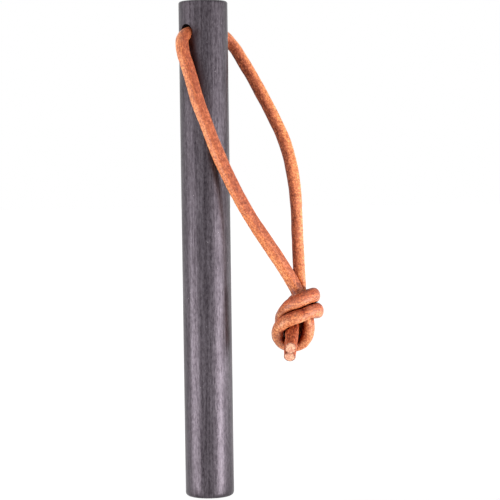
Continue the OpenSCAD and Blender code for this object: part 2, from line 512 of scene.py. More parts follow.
@dataclass(frozen=True)
class CutLeather:
    """Freshly cut end of the lace: pale tan, with fibres and a darker skin round it."""

    core: Colour = (0.76, 0.425, 0.275)
    fibre: Colour = (0.47, 0.180, 0.120)
    skin: Colour = (0.21, 0.075, 0.050)
    roughness: float = 0.9
    shine: float = 0.2
    fibres: Pattern = Pattern((2600.0, 2600.0, 2600.0), 4.0, 0.7)
    tufts: Pattern = Pattern((1100.0, 1100.0, 1100.0), 3.0, 0.6)

    def material(self) -> bpy.types.Material:
        """The finish, with the skin where the stored rim is near 1.

        Returns:
            The material. Fibres and tufts darken the core, and fibres make the rim's edge ragged.
        """
        b = Bench(bpy.data.materials.new("cut_leather_end"))
        fibres, tufts = b.noise(self.fibres), b.noise(self.tufts)
        colour = b.blend(b.fit(fibres, 0.42, 0.62, 0.0, 0.85), self.core, self.fibre)
        colour = b.blend(b.fit(tufts, 0.44, 0.60, 0.0, 0.7), colour, self.fibre)
        edge = b.maths("ADD", b.attribute("rim"), b.fit(fibres, 0.3, 0.7, -0.3, 0.3))
        colour = b.blend(b.fit(edge, 0.45, 0.95, 0.0, 0.92), colour, self.skin)
        normal = b.relief(fibres, 0.12, 0.6)
        normal = b.relief(tufts, 0.2, 0.4, normal)
        return b.surface(
            Base_Color=colour, Roughness=self.roughness, Specular_IOR_Level=self.shine, Normal=normal
        )


# The studio


@dataclass(frozen=True)
class Lamp:
    """Soft rectangular lamp: its middle, the point that it faces and its size in metres, and its watts."""

    name: str
    place: Place
    aim: Place
    size: Span
    power: float

    def hang(self) -> None:
        """Adds the lamp to the scene, turned from its place to its aim."""
        data = bpy.data.lights.new(self.name, "AREA")
        data.shape = "RECTANGLE"
        data.size, data.size_y = self.size
        data.energy = self.power
        lamp = bpy.data.objects.new(self.name, data)
        bpy.context.scene.collection.objects.link(lamp)
        way = Vector(self.aim) - Vector(self.place)
        lamp.rotation_euler = way.to_track_quat("-Z", "Y").to_euler()
        lamp.location = self.place


@dataclass
class Studio:
    """Camera, five soft lamps, an even pale surround and a floor.

    The eye is in mm, and the clip distances, the floor and the lamps are in metres.
    """

    eye: Place = (11.2, -450.0, 85.3)
    pitch_deg: float = 2.8
    roll_deg: float = 0.765
    lens_mm: float = 126.07
    sensor_mm: float = 36.0
    clip: Span = (0.01, 50.0)
    ambient: float = 0.815
    floor_side: float = 6.0
    floor_front: float = -0.0085
    floor_tone: float = 0.9
    floor_glow: float = 1.18
    floor_glow_share: float = 0.80
    lamps: tuple[Lamp, ...] = (
        Lamp("left_low_lamp", (-0.329, -0.146, -0.08), (0.0, 0.0, 0.04), (0.30, 0.24), 1.0),
        Lamp("right_low_lamp", (0.306, -0.190, -0.065), (0.0, 0.0, 0.04), (0.28, 0.27), 1.58),
        Lamp("left_side_lamp", (-0.60, -0.10, 0.08), (0.0, 0.0, 0.07), (0.70, 0.40), 0.62),
        Lamp("right_side_lamp", (0.60, 0.02, 0.05), (0.0, 0.0, 0.05), (0.70, 0.30), 0.82),
        Lamp("right_back_lamp", (0.34, 0.06, 0.02), (0.0, 0.0, 0.01), (0.34, 0.03), 0.13),
    )

    def camera(self) -> Piece:
        """Camera in front of the rod's upper half, looking a little down and turned a little.

        Returns:
            The scene's camera, with its axes right = cos r x - sin r u, up = sin r x + cos r u and back,
            where u is square to the way ahead and r is the roll.
        """
        data = bpy.data.cameras.new("camera")
        data.lens = self.lens_mm
        data.sensor_width = self.sensor_mm
        data.clip_start, data.clip_end = self.clip
        camera = bpy.data.objects.new("camera", data)
        bpy.context.scene.collection.objects.link(camera)
        down, roll = math.radians(self.pitch_deg), math.radians(self.roll_deg)
        ahead = Vector((0.0, math.cos(down), -math.sin(down)))
        above = Vector((0.0, math.sin(down), math.cos(down)))
        aside = Vector((1.0, 0.0, 0.0))
        right = math.cos(roll) * aside - math.sin(roll) * above
        up = math.sin(roll) * aside + math.cos(roll) * above
        turn = Matrix((right, up, -ahead)).transposed()
        camera.matrix_world = Matrix.Translation(Vector(self.eye) * MM) @ turn.to_4x4()
        bpy.context.scene.camera = camera
        return camera

    def surround(self) -> None:
        """Even world: white to the camera and in reflections, a plain grey level as light."""
        world = bpy.data.worlds.new("surround")
        bpy.context.scene.world = world
        b = Bench(world)
        strength = b.put("MapRange", Value=b.seen_rays(), To_Min=self.ambient, To_Max=1.0).outputs["Result"]
        b.close(b.put("Background", Color=(1.0, 1.0, 1.0, 1.0), Strength=strength), "OutputWorld")

    def floor(self) -> Piece:
        """Pale table top that is nearly white to the camera and keeps the object's shadow.

        Its front edge is just before the rod, so that the low lamps reach the rod from under its level.

        Returns:
            The floor, a square with its near strip left off, matt but for a share of glow to seen rays.
        """
        side, near = self.floor_side / 2.0 / MM, self.floor_front / MM
        corners = np.array([[-side, near, 0.0], [side, near, 0.0], [side, side, 0.0], [-side, side, 0.0]])
        plane = mesh_piece("floor", corners, [np.array([[0, 1, 2, 3]])])
        b = Bench(bpy.data.materials.new("pale_floor"))
        matt = b.put("BsdfDiffuse", Color=(self.floor_tone, self.floor_tone, self.floor_tone, 1.0))
        glow = b.put("Emission", Color=(1.0, 1.0, 1.0, 1.0), Strength=self.floor_glow)
        mix = b.put("MixShader")
        share = b.maths("MULTIPLY", b.seen_rays(), self.floor_glow_share)
        for socket, part in zip(mix.inputs, (share, matt.outputs[0], glow.outputs[0])):
            b.join(socket, part)
        b.close(mix)
        plane.data.materials.append(b.owner)
        return plane

    def light(self) -> Piece:
        """Sets the lamps, the surround, the floor and the plain view transform.

        Returns:
            The floor.
        """
        for lamp in self.lamps:
            lamp.hang()
        self.surround()
        bpy.context.scene.view_settings.view_transform = "Standard"
        return self.floor()


# The rod


@dataclass
class FireSteelRod:
    """Solid round rod with broken edges and a cross hole. Sizes are in mm."""

    length: float = 127.0
    diameter: float = 12.5
    top_edge: float = 0.6
    bottom_edge: float = 0.9
    hole_diameter: float = 4.0
    hole_from_top: float = 8.0
    hole_turn_deg: float = 45.0
    mouth_edge: float = 0.15
    line_depth: float = 0.0028
    line_twist: float = 0.0006
    line_waves: tuple[int, int] = (14, 92)
    line_seed: int = 11
    out_of_round: float = 0.008
    round_waves: tuple[int, int] = (2, 7)
    round_seed: int = 12
    nick_count: int = 18
    nick_seed: int = 5
    nick_depth: Span = (0.03, 0.10)
    nick_width: Span = (0.03, 0.09)
    nick_at_top: Span = (0.0, 0.8)
    nick_reach_at_top: Span = (0.25, 0.6)
    nick_at_bottom: Span = (0.0, 0.9)
    nick_reach_at_bottom: Span = (0.3, 0.7)
    # Painted shadow of the lace on the rod: its fade with distance from the lace, the heights where it
    # rises and falls, and its strength.
    lace_shadow_reach: Span = (2.6, 4.8)
    lace_shadow_starts: Span = (96.0, 108.0)
    lace_shadow_ends: Span = (118.5, 121.5)
    lace_shadow_strength: float = 0.75
    columns: int = 256
    rows_below: int = 250
    rows_above: int = 12
    patch_columns: int = 20
    patch_rows: int = 8
    patch_half_height: float = 3.0
    weld: float = 0.002
    finish: FireSteel = field(default_factory=FireSteel)

    @property
    def radius(self) -> float:
        """Half the diameter."""
        return self.diameter / 2.0

    @property
    def hole_height(self) -> float:
        """Height of the hole's axis."""
        return self.length - self.hole_from_top

    def relief(self, angle: Array, height: Array) -> Array:
        """How far the drawn surface stands in or out of the true cylinder, in mm.

        Args:
            angle: Angle round the rod, in radians.
            height: Height along the rod, of the same shape.

        Returns:
            Fine draw lines, which turn slowly with height and whose depth changes as
            0.75 + 0.25 cos(0.051 z + 3 sin a), and a little out-of-round.
        """
        fine = ripple(angle + self.line_twist * height, np.arange(*self.line_waves), self.line_seed)
        broad = ripple(angle, np.arange(*self.round_waves), self.round_seed)
        slow = 0.75 + 0.25 * np.cos(height * 0.051 + 3.0 * np.sin(angle))
        return self.line_depth * fine * slow + self.out_of_round * broad

    def nicks(self, angle: Array, height: Array) -> Array:
        """Small dents along both rims, deepest where the edge is broken.

        Args:
            angle: Angle round the rod, in radians.
            height: Height along the rod, of the same shape.

        Returns:
            The sum of -depth * bump round the rod * bump along it, in mm, for dents at random places, each
            on the top rim or on the bottom one.
        """
        rng = np.random.default_rng(self.nick_seed)
        depth = np.zeros_like(angle)
        for place in rng.uniform(-np.pi, np.pi, self.nick_count):
            size = rng.uniform(*self.nick_depth)
            off = np.angle(np.exp(1j * (angle - place)))
            top = self.length - rng.uniform(*self.nick_at_top)
            at_top = bump_at(height, top, rng.uniform(*self.nick_reach_at_top))
            bottom = rng.uniform(*self.nick_at_bottom)
            at_bottom = bump_at(height, bottom, rng.uniform(*self.nick_reach_at_bottom))
            spread = bump_at(off, 0.0, rng.uniform(*self.nick_width))
            depth -= size * spread * (at_top if rng.random() < 0.5 else at_bottom)
        return depth

    def wrap(self, angle: Array, height: Array, radius: Array) -> Array:
        """Points at an angle, height and radius from the axis, with the drawn surface's relief.

        Args:
            angle: Angle round the rod, in radians.
            height: Height, in mm.
            radius: True radius, in mm: the relief fades towards the axis.

        Returns:
            x = r cos a, y = r sin a, z = height, with r changed by the relief.
        """
        share = np.clip(radius / self.radius, 0.0, 1.0) ** 4
        r = radius + share * (self.relief(angle, height) + self.nicks(angle, height))
        return np.stack([r * np.cos(angle), r * np.sin(angle), height], -1)

    def end(self, top: bool) -> Array:
        """Profile of one end from the wall to the axis.

        Args:
            top: Whether it is the drilled end.

        Returns:
            Rows of radius and height: a quarter round, then the flat face.
        """
        edge = self.top_edge if top else self.bottom_edge
        a = np.linspace(0.0, np.pi / 2.0, 8)[1:]
        turn = np.stack([self.radius - edge + edge * np.cos(a), edge * np.sin(a)], -1)
        r = np.linspace(self.radius - edge, 0.0, 14)[1:]
        face = np.stack([r, np.full_like(r, edge)], -1)
        profile = np.concatenate([turn, face])
        profile[:, 1] = (self.length - edge + profile[:, 1]) if top else (edge - profile[:, 1])
        return profile

    def profile(self) -> tuple[Array, Array]:
        """Outline of the rod from the middle of its lower face to the middle of its top face.

        Returns:
            Rows of radius and height, with a row on each edge of the mouths' patches, and the places of
            the patches' rows among all rows but the first.
        """
        low, high = self.hole_height - self.patch_half_height, self.hole_height + self.patch_half_height
        below = np.linspace(self.bottom_edge, low, self.rows_below)[:-1]
        beside = np.linspace(low, high, 2 * self.patch_rows + 1)
        above = np.linspace(high, self.length - self.top_edge, self.rows_above)[1:]
        heights = np.concatenate([below, beside, above])
        wall = np.stack([np.full_like(heights, self.radius), heights], -1)
        bottom = self.end(False)[::-1]
        crossed = len(bottom) + len(below) - 1 + np.arange(len(beside))
        return np.concatenate([bottom, wall, self.end(True)]), crossed

    def in_hole(self, where: float, depth: Array, radius: Array | float, turn: Array) -> Array:
        """Points about the hole's axis: depth out + radius cos t side + (hole height + radius sin t) up.

        Args:
            where: Angle of the mouth round the rod, in radians.
            depth: Distance from the rod's axis towards that mouth.
            radius: Distance from the hole's axis.
            turn: Angle t round the hole's axis.

        Returns:
            Rows of x, y, z.
        """
        out = np.array([math.cos(where), math.sin(where), 0.0])
        side = np.array([-out[1], out[0], 0.0])
        up = np.array([0.0, 0.0, 1.0])
        across, height = radius * np.cos(turn), self.hole_height + radius * np.sin(turn)
        return depth[..., None] * out + across[..., None] * side + height[..., None] * up

    def mouth(self, where: float, offset: Array, level: Array) -> Array:
        """Points of one mouth: a patch of wall, a round lip and half the bore.

        Args:
            where: Angle of the mouth round the rod, in radians.
            offset: Angles of the patch's columns from the mouth, in radians.
            level: Heights of the patch's rows.

        Returns:
            Closed rows from the patch's border in to the middle of the bore. The patch's rows go evenly
            from the border to the lip, and the lip is a quarter round from the wall into the bore.
        """
        hole, lip = self.hole_diameter / 2.0, self.mouth_edge
        wide, tall = len(offset) - 1, len(level) - 1
        left, right = np.full(tall, offset[0]), np.full(tall, offset[-1])
        around = np.concatenate([offset[:-1], right, offset[:0:-1], left])
        up = np.concatenate([np.full(wide, level[0]), level[:-1], np.full(wide, level[-1]), level[:0:-1]])
        u_edge, v_edge = self.radius * np.sin(around), up - self.hole_height
        turn = np.arctan2(v_edge, u_edge)
        share = np.linspace(0.0, 1.0, 7)[:, None]
        u = u_edge + ((hole + lip) * np.cos(turn) - u_edge) * share
        v = v_edge + ((hole + lip) * np.sin(turn) - v_edge) * share
        angle = where + np.arcsin(u / self.radius)
        patch = self.wrap(angle, self.hole_height + v, np.full_like(u, self.radius))
        rim = np.sqrt(self.radius**2 - ((hole + lip) * np.cos(turn)) ** 2)
        a = np.linspace(0.0, np.pi / 2.0, 6)[1:, None]
        rounded = self.in_hole(where, rim - lip * (1.0 - np.cos(a)), hole + lip * (1.0 - np.sin(a)), turn)
        inner = np.linspace(1.0, 0.0, 10)[1:, None]
        return np.concatenate([patch, rounded, self.in_hole(where, (rim - lip) * inner, hole, turn)])

    def lace_shadow(self, piece: Piece, lace: Array) -> Array:
        """Painted shadow of the lace on the rod, where the lace lies by it.

        Args:
            piece: The rod.
            lace: Centreline of the front strand.

        Returns:
            For each point, the strength, faded out with the distance to the lace and outside the heights.
        """
        skin = np.empty(3 * len(piece.data.vertices))
        piece.data.vertices.foreach_get("co", skin)
        skin = skin.reshape(-1, 3) / MM
        away = np.linalg.norm(skin[:, None, :] - lace[None, ::5, :], axis=-1).min(1)
        level = smooth_step(*self.lace_shadow_starts, skin[:, 2]) * fade_out(*self.lace_shadow_ends, skin[:, 2])
        return self.lace_shadow_strength * (fade_out(*self.lace_shadow_reach, away) * level)

    def build(self, lace: Array) -> Piece:
        """Makes the rod as one closed mesh and dresses it.

        Args:
            lace: Centreline of the front strand, whose shadow is painted on the rod where it lies by it.

        Returns:
            The piece that stands for the CAD node ferro_rod.
        """
        profile, crossed = self.profile()
        angle, height = np.meshgrid(np.arange(self.columns) * 2.0 * np.pi / self.columns, profile[1:-1, 1])
        wall = self.wrap(angle, height, np.repeat(profile[1:-1, :1], self.columns, axis=1))
        quads = ring_quads(len(wall), self.columns).reshape(-1, self.columns, 4)
        keep = np.ones(quads.shape[:2], bool)
        points, faces = wall.reshape(-1, 3), []
        for where in (-90.0 - self.hole_turn_deg, 90.0 - self.hole_turn_deg):
            middle = round(where / 360.0 * self.columns)
            patch = np.arange(middle - self.patch_columns, middle + self.patch_columns + 1)
            keep[np.ix_(crossed[:-1], patch[:-1] % self.columns)] = False
            offset = (patch - middle) * 2.0 * np.pi / self.columns
            mouth = self.mouth(math.radians(where), offset, height[crossed, 0])
            faces.append(ring_quads(*mouth.shape[:2]) + len(points))
            points = np.concatenate([points, mouth.reshape(-1, 3)])
        faces += [quads[keep], *end_fans(len(wall), self.columns, len(points))]
        middles = np.array([[0.0, 0.0, profile[0, 1]], [0.0, 0.0, profile[-1, 1]]])
        piece = mesh_piece("fire_steel_rod", np.concatenate([points, middles]), faces, self.weld)
        # Stores the strength of the painted shadow of the lace on the rod.
        store(piece, "lace_shadow", self.lace_shadow(piece, lace))
        piece.data.materials.append(self.finish.material())
        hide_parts("ferro_rod")
        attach(piece, "rod")
        return piece


# The lace


class Half(Enum):
    """The two halves of the lace, with the sign of their place in the knot's pair."""

    FRONT = -1
    REAR = 1

    @property
    def other(self) -> Half:
        """The half that this one is tied to."""
        return Half(-self.value)


@dataclass(frozen=True)
class Strand:
    """What sets one half of the lace apart from the other. Runs are in mm from the middle of the hole.

    A swell or a rub is a height, the run at its middle and its width. The section is turned by turn_deg up
    to the turn's ends. The grain side faces bright_deg round the section, and bright_turn_deg more in the
    upper part of the strand; it is set on the strand's lit side, so its pale colour is partly painted
    light.
    """

    route: tuple[Place, ...]
    first_facing: Place
    turn_deg: float
    turn_ends: Span
    half_width: float
    end_shrink: float
    end_lean: float
    # Run from which contact with other stretches is painted as shade.
    shaded_from: float
    bright_deg: float
    rub_all_round: float
    rub_dark_side: float
    rubs: tuple[Swell, ...]
    uneven_seed: int
    end_seed: int
    nodes: tuple[str, ...]
    taper: float = 0.0
    swells: tuple[Swell, ...] = ()
    bright_turn_deg: float = 0.0
    grain_lift: float = 0.0
    rub_drop: float = 0.0
    rubs_edge: bool = False


@dataclass(frozen=True)
class Skin:
    """Rings of one half as (rings, sides, 3), its centreline and directions, angles round it, and runs."""

    rings: Array
    line: Array
    way: Array
    turn: Array
    run: Array


@dataclass
class LeatherLace:
    """One round leather lace through the hole, whose halves share the doubled overhand knot.

    Sizes are in mm, and runs are counted along each half from the middle of the hole. A slow wave is a
    height, a rate and a phase, and a deep shade is a share with the distances from the knot's middle
    between which it fades out.
    """

    diameter: float = 3.2
    hole_height: float = 119.0
    rod_diameter: float = 12.5
    stand_out: float = 6.75
    sag_in_hole: float = 0.25
    in_hole: tuple[float, ...] = (0.0, 2.7, 5.0)
    half_length: float = 151.4
    ring_step: float = 0.2
    span_points: int = 24
    sides: int = 40
    soften_rings: int = 6
    soften_width: float = 0.55
    pair_pitch: float = 3.5
    turn_spread: Swell = (0.5, 17.0, 1.8)
    tail_length: float = 4.6
    tail_way: Place = (-0.13, -1.0, -1.0)
    # The section: its squareness, and half its widths along the pair and across it
    strand_squareness: float = 2.7
    knot_squareness: float = 2.15
    squares_off: Span = (68.0, 80.0)
    taper_run: Span = (46.0, 62.0)
    knot_half_widths: Span = (1.76, 1.56)
    fills_out: Span = (70.0, 82.0)
    last_turn_swell: Swell = (0.3, 127.0, 4.5)
    first_turn_swell: Swell = (0.17, 73.0, 9.0)
    tail_run: Span = (134.0, 139.0)
    tail_change: Span = (-0.2, 0.1)
    end_run: Span = (145.0, 150.0)
    lean_run: float = 3.0
    slow_waves: tuple[tuple[float, float, float], ...] = ((0.02, 0.31, 1.0), (0.015, 0.83, 0.0))
    unevenness_height: float = 0.0045
    uneven_orders: tuple[int, ...] = (1, 2, 3, 4)
    uneven_lengths: tuple[float, ...] = (2.3, 4.1, 7.7, 13.0)
    # Where two stretches press on each other
    press_gap: float = 0.02
    press_reach: float = 5.16
    press_window: float = 6.0
    own_neighbours: float = 7.0
    touch_gap: Span = (-0.40, 0.02)
    shade_gap: Span = (-1.9, 0.0)
    deep_shades: tuple[tuple[float, Span], ...] = ((0.62, (4.6, 6.4)), (0.25, (2.5, 4.0)))
    knot_middle: Place = (23.3, 0.2, 45.0)
    # Where the lace gets painted shade, its grain side, the knot's tints and its rubs
    in_knot: Span = (76.0, 84.0)
    in_mouth: Span = (4.6, 5.8)
    shade_rise: float = 6.0
    rod_shade: float = 0.85
    rod_shade_gap: Span = (0.6, 1.8)
    rod_shade_run: Span = (8.5, 10.5)
    rod_shade_over_hole: float = 3.0
    beside_shade: float = 0.8
    beside_gap: Span = (0.3, 2.1)
    beside_rise: Span = (62.0, 66.0)
    beside_run: Span = (62.0, 80.0)
    beside_other: Span = (60.0, 80.0)
    bright_turns: Span = (44.0, 64.0)
    grain_settles: Span = (74.0, 92.0)
    dark_side: Span = (0.40, 0.80)
    rub_edge: Span = (0.36, 0.12)
    rub_drops: Span = (130.0, 136.0)
    pattern_shift: float = 300.0
    # Rings of a cut end: share of the tail's ring, height over it, and how much of the rim's skin shows
    cut_rings: tuple[tuple[float, float, float], ...] = (
        (0.97, -0.3, 1.0), (1.0, -0.05, 1.0), (0.97, 0.06, 1.0), (0.9, 0.1, 0.85),
        (0.75, 0.12, 0.5), (0.55, 0.13, 0.3), (0.35, 0.13, 0.2), (0.15, 0.13, 0.1),
    )
    cut_roughness: float = 0.02
    rough_above: float = 0.07
    front: Strand = Strand(
        route=(
            (-4.6, -5.0, 118.2), (-5.1, -6.1, 117.3), (-5.25, -6.9, 116.1), (-5.1, -7.3, 114.6),
            (-4.8, -7.6, 113.0), (-4.0, -7.7, 110.5), (-3.0, -8.0, 107.0), (-1.5, -8.3, 101.5),
            (0.5, -8.5, 96.0), (2.5, -8.5, 90.5), (5.0, -8.0, 84.5), (8.1, -7.0, 78.0),
            (11.65, -5.5, 71.5), (15.5, -4.0, 65.5), (19.35, -2.5, 59.5),
        ),
        first_facing=(-0.5, -0.8, 0.6),
        turn_deg=30.0,
        turn_ends=(55.0, 80.0),
        half_width=1.54,
        end_shrink=0.15,
        end_lean=0.12,
        shaded_from=73.0,
        bright_deg=90.0,
        grain_lift=0.16,
        rub_all_round=0.0,
        rub_dark_side=0.65,
        rubs=((0.9, 17.0, 9.0), (0.55, 50.0, 12.0)),
        rubs_edge=True,
        uneven_seed=19,
        end_seed=5,
        nodes=("front_strand", "knot_front_lace", "front_tail", "lace_bore_run"),
    )
    rear: Strand = Strand(
        route=(
            (5.4, 5.6, 118.3), (6.6, 6.5, 117.1), (8.15, 6.9, 115.2), (9.8, 7.1, 112.4),
            (12.1, 7.0, 108.5), (15.0, 6.5, 103.0), (17.75, 6.0, 97.5), (20.2, 5.5, 92.0),
            (21.8, 4.8, 86.5), (22.9, 4.0, 80.0), (23.35, 3.5, 73.5), (23.5, 3.0, 67.5),
            (23.7, 2.5, 61.0),
        ),
        first_facing=(0.7, -0.7, 0.1),
        turn_deg=-38.0,
        turn_ends=(62.0, 84.0),
        half_width=1.40,
        taper=0.11,
        swells=((0.07, 51.0, 5.0), (-0.05, 21.0, 6.0)),
        end_shrink=0.26,
        end_lean=0.36,
        shaded_from=66.0,
        bright_deg=-90.0,
        bright_turn_deg=24.0,
        rub_all_round=0.3,
        rub_dark_side=0.7,
        rub_drop=0.55,
        rubs=((0.45, 116.0, 5.0), (0.3, 69.0, 4.0)),
        uneven_seed=21,
        end_seed=4,
        nodes=("rear_strand", "knot_rear_lace", "rear_tail"),
    )
    # The knot: the middle between both laces, and the way from the front lace to the rear lace
    pair_route: tuple[tuple[Place, Place], ...] = (
        ((23.25, 0.4, 54.0), (1.55, 3.7, 0)), ((23.85, 0.4, 50.6), (0, 1, 0)),
        ((24.6, 0.4, 47.4), (-0.3, 1, 0)), ((25.1, 0.6, 44.8), (-0.5, 1, 0)),
        ((25.0, 1.5, 42.2), (-0.5, 1, 0.1)), ((24.4, 2.8, 40.2), (-0.2, 1, 0.3)),
        ((23.5, 3.8, 38.95), (0, 1, 0.1)), ((22.2, 4.2, 38.4), (0, 1, 0.1)),
        ((20.5, 3.9, 38.8), (0, 1, 0.1)), ((19.05, 2.8, 40.2), (0.1, 1, 0.1)),
        ((18.5, 0.6, 42.4), (0.25, 1, 0.2)), ((18.7, -1.8, 44.7), (0.14, 0.8, 0.6)),
        ((20.05, -4.0, 46.5), (0.14, 0.5, 0.9)), ((21.85, -5.3, 47.75), (-0.12, 0.3, 1)),
        ((23.8, -5.6, 48.6), (-0.3, 0, 1)), ((25.8, -5.0, 49.4), (-0.25, 0, 1)),
        ((27.4, -3.0, 49.65), (-0.22, 0, 1)), ((27.95, 0.4, 49.45), (-0.22, 0, 1)),
        ((27.4, 3.7, 49.0), (-0.25, 0, 1)), ((26.2, 5.8, 48.7), (-0.2, 0, 1)),
        ((24.5, 6.4, 48.5), (-0.1, 0, 1)), ((22.95, 5.9, 47.75), (-0.05, -0.1, 1)),
        ((22.05, 4.6, 46.7), (-0.1, -0.4, 1)), ((21.8, 2.9, 45.6), (-0.1, -0.7, 0.9)),
        ((22.1, 1.1, 44.2), (0, -0.8, 0.7)), ((21.85, -0.9, 42.5), (0, -0.8, 0.7)),
        ((21.5, -2.9, 40.6), (0.05, -0.8, 0.7)),
    )
    finish: LaceLeather = field(default_factory=LaceLeather)
    end_finish: CutLeather = field(default_factory=CutLeather)

    def strand(self, half: Half) -> Strand:
        """What sets that half apart."""
        return self.front if half is Half.FRONT else self.rear

    def mouth_way(self, half: Half) -> Array:
        """Unit way out of that half's mouth of the hole."""
        return np.array([math.sqrt(0.5), math.sqrt(0.5), 0.0]) * half.value

    def knot_points(self, half: Half) -> tuple[Array, Array]:
        """One lace's points through the knot, half a pitch from the pair's middle, and the ways across.

        Args:
            half: Which lace.

        Returns:
            Points and unit ways from the front lace to the rear lace, a row each.
        """
        middle = np.array([m for m, _ in self.pair_route])
        way = np.array([w for _, w in self.pair_route], float)
        run = np.empty_like(middle)
        run[1:-1] = middle[2:] - middle[:-2]
        run[0], run[-1] = middle[1] - middle[0], middle[-1] - middle[-2]
        across = square_to(way, unit(run))
        index = np.arange(len(middle), dtype=float)[:, None]
        pitch = self.pair_pitch + swell_at(index, self.turn_spread)
        return middle + half.value * pitch / 2.0 * across, across

    def route(self, half: Half) -> Array:
        """Rows of point and facing of one half, from the middle of the hole to its cut end.

        Args:
            half: Which lace.

        Returns:
            Six columns: the point, and the way that the section's first side faces, which goes smoothly
            from the strand's first facing to the knot's way across.
        """
        strand = self.strand(half)
        level = np.array([0.0, 0.0, self.hole_height - self.sag_in_hole])
        start = level + self.mouth_way(half) * np.array(self.in_hole)[:, None]
        knot, across = self.knot_points(half)
        end = knot[-1:] + self.tail_length * unit(np.array([self.tail_way]))
        points = np.concatenate([start, np.array(strand.route), knot, end])
        share = smooth_step(0.0, 1.0, np.linspace(0.0, 1.0, len(start) + len(strand.route)))[:, None]
        first, last = np.array(strand.first_facing), -across[0]
        facing = np.concatenate([first + (last - first) * share, -across, -across[-1:]])
        return np.concatenate([points, facing], 1)

    def centreline(self, half: Half) -> tuple[Array, Array, Array]:
        """The half's smooth centreline in even steps.

        On each span between two route points the curve is the cubic
        p(t) = (2b + (c-a)t + (2a-5b+4c-d)t^2 + (3b-a-3c+d)t^3) / 2.

        Args:
            half: Which lace.

        Returns:
            Points, unit directions and unit facings, a row for each ring.
        """
        route = self.route(half)
        ends = np.concatenate([2 * route[:1] - route[1:2], route, 2 * route[-1:] - route[-2:-1]])
        a, b, c, d = (ends[i : len(ends) - 3 + i, None, :] for i in range(4))
        t = np.linspace(0.0, 1.0, self.span_points, endpoint=False)[None, :, None]
        square, cube = 2 * a - 5 * b + 4 * c - d, 3 * b - a - 3 * c + d
        curve = 0.5 * (2 * b + (c - a) * t + square * t**2 + cube * t**3)
        curve = np.concatenate([curve.reshape(-1, 6), route[-1:]])
        s = np.concatenate([[0.0], np.cumsum(np.linalg.norm(np.diff(curve[:, :3], axis=0), axis=1))])
        even = np.linspace(0.0, s[-1], round(s[-1] / self.ring_step) + 1)
        line = self.softened(np.stack([np.interp(even, s, column) for column in curve.T], -1))
        way = unit(np.gradient(line[:, :3], axis=0))
        return line[:, :3], way, square_to(line[:, 3:], way)

    def softened(self, line: Array) -> Array:
        """Rows averaged with their neighbours by a bell of half a millimetre, with both ends kept.

        Args:
            line: Rows in even steps.

        Returns:
            The sum of weight * row over the near rows, where the ends are continued by point mirrors.
        """
        reach = self.soften_rings
        weights = bump_at(np.arange(-reach, reach + 1) * self.ring_step, 0.0, self.soften_width)
        weights /= weights.sum()
        before = 2 * line[:1] - line[reach:0:-1]
        after = 2 * line[-1:] - line[-2 : -reach - 2 : -1]
        padded = np.concatenate([before, line, after])
        return np.stack([np.convolve(column, weights, "valid") for column in padded.T], -1)

    def half_widths(self, half: Half, s: Array) -> tuple[Array, Array]:
        """Half the lace's width along both sides of its section.

        It is slim in the rear strand, fuller in the knot, where it is broader along the pair than across
        it, and round again at the cut tail.

        Args:
            half: Which lace.
            s: Runs along it.

        Returns:
            slim + (full - slim) into the knot, plus its swells and a slow wave, along the pair and across.
        """
        strand = self.strand(half)
        slim = strand.half_width + strand.taper * fade_out(*self.taper_run, s)
        for swell in strand.swells:
            slim = slim + swell_at(s, swell)
        into, tail = smooth_step(*self.fills_out, s), smooth_step(*self.tail_run, s)
        wave = sum(height * np.sin(s * rate + phase) for height, rate, phase in self.slow_waves)
        full_pair, full_across = self.knot_half_widths
        pair_change, across_change = self.tail_change
        pair = slim + (full_pair - slim) * into + swell_at(s, self.last_turn_swell) + pair_change * tail
        across = slim + (full_across - slim) * into + swell_at(s, self.first_turn_swell)
        across = across + across_change * tail - strand.end_shrink * smooth_step(*self.end_run, s)
        return pair + wave, across + wave

    def unevenness(self, s: Array, f: Array, half: Half) -> Array:
        """Hand-cut unevenness of the section.

        Args:
            s: Runs along the lace.
            f: Angles round it.
            half: Which lace, for its random waves.

        Returns:
            The sum of h cos(k f + p) cos(2 pi s / length + q) over the orders k and the lengths, as a share
            of the radius, by run and angle.
        """
        rng = np.random.default_rng(self.strand(half).uneven_seed)
        waves = np.zeros((len(s), len(f)))
        for order in self.uneven_orders:
            for length in self.uneven_lengths:
                p, q = rng.uniform(0.0, 2.0 * np.pi, 2)
                round_it = self.unevenness_height * rng.normal() * np.cos(order * f[None, :] + p)
                waves += round_it * np.cos(2 * np.pi * s[:, None] / length + q)
        return waves

    def skin(self, half: Half) -> Skin:
        """Rings of the lace.

        At angle f the section lies at (a cos f, b sin f) (|cos f|^n + |sin f|^n)^(-1/n), with half widths
        a and b, and squareness n.

        Args:
            half: Which lace.

        Returns:
            The rings, with the section turned about the strand, and leaned along it at the cut end.
        """
        strand = self.strand(half)
        line, way, facing = self.centreline(half)
        s = np.arange(len(line)) * self.ring_step
        f = np.arange(self.sides) * 2.0 * np.pi / self.sides
        change = self.knot_squareness - self.strand_squareness
        n = self.strand_squareness + change * smooth_step(*self.squares_off, s)[:, None]
        shape = (np.abs(np.cos(f)) ** n + np.abs(np.sin(f)) ** n) ** (-1.0 / n)
        shape = shape * (1.0 + self.unevenness(s, f, half))
        turn = math.radians(strand.turn_deg) * fade_out(*strand.turn_ends, s)
        along, across = self.half_widths(half, s)
        side = np.cross(way, facing)
        first = np.cos(turn)[:, None] * facing + np.sin(turn)[:, None] * side
        second = np.cos(turn)[:, None] * side - np.sin(turn)[:, None] * facing
        rings = (
            line[:, None, :]
            + (shape * np.cos(f) * along[:, None])[..., None] * first[:, None, :]
            + (shape * np.sin(f) * across[:, None])[..., None] * second[:, None, :]
        )
        lean = strand.end_lean * square_to(np.array([[0.0, -1.0, 0.0]]), way[-1:])
        ramp = smooth_step(s[-1] - self.lean_run, s[-1], s)[:, None]
        rings -= (((rings - line[:, None, :]) * lean).sum(-1) * ramp)[..., None] * way[:, None, :]
        return Skin(rings, line, way, f, s)

